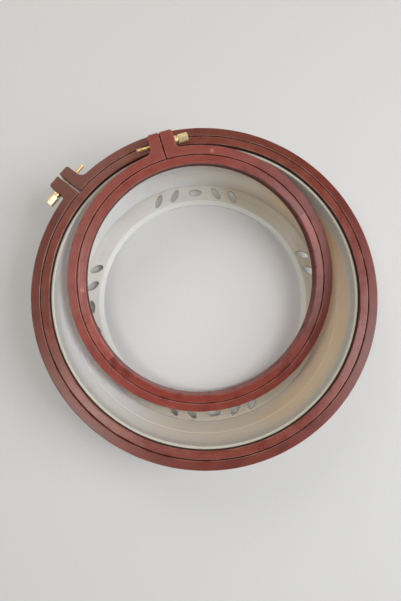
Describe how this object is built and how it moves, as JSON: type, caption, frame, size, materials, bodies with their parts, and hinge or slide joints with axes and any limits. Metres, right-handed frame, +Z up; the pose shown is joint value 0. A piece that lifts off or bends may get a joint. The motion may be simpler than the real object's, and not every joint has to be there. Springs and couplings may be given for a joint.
{
  "type": "embroidery lap hoop set",
  "caption": "Round clamping embroidery hoop on a bowl-shaped lap stand with oval holes, and a smaller clamping hoop of the same make lying tilted in the bowl.",
  "frame": {"origin": "on the stand's axis, at the table that the foot stands on", "axes": "+Z up along the stand's axis; +Y towards the side where the small hoop's clamp lies on the large hoop's rim; +X to the right of that"},
  "size_m": [0.2749, 0.275, 0.073],
  "materials": {
    "stand_cream": "semi-gloss moulded cream plastic",
    "ring_brown": "satin moulded brown plastic with a mottled wood look",
    "ring_rust": "satin moulded red-brown plastic",
    "screw_brass": "turned bright brass"
  },
  "bodies": {
    "stand": {"stand": "stand_cream", "large_inner_ring": "ring_brown"},
    "large_outer_ring": {"large_outer_ring": "ring_brown", "large_threaded_bush": "screw_brass"},
    "large_thumb_screw": {"large_thumb_screw": "screw_brass"},
    "small_inner_ring": {"small_inner_ring": "ring_rust"},
    "small_outer_ring": {"small_outer_ring": "ring_rust", "small_threaded_bush": "screw_brass"},
    "small_thumb_screw": {"small_thumb_screw": "screw_brass"}
  },
  "joints": [
    {"name": "large_outer_ring_lift", "type": "slide", "parent": "stand", "child": "large_outer_ring", "axis": [0, 0, 1], "range_m": [0, 0.04]},
    {"name": "large_thumb_screw_turn", "type": "hinge", "parent": "large_outer_ring", "child": "large_thumb_screw", "pos_m": [-0.12234, 0.07964, 0.0543], "axis": [-0.6115, -0.7912, 0], "continuous": true},
    {"name": "small_hoop_lift", "type": "slide", "parent": "large_outer_ring", "child": "small_inner_ring", "axis": [0, 0, 1], "range_m": [0, 0.1]},
    {"name": "small_outer_ring_draw", "type": "slide", "parent": "small_inner_ring", "child": "small_outer_ring", "axis": [0.0772, -0.2333, 0.9693], "range_m": [0, 0.03]},
    {"name": "small_thumb_screw_turn", "type": "hinge", "parent": "small_outer_ring", "child": "small_thumb_screw", "pos_m": [-0.02664, 0.12196, 0.06589], "axis": [0.9494, 0.314, 0], "continuous": true}
  ]
}
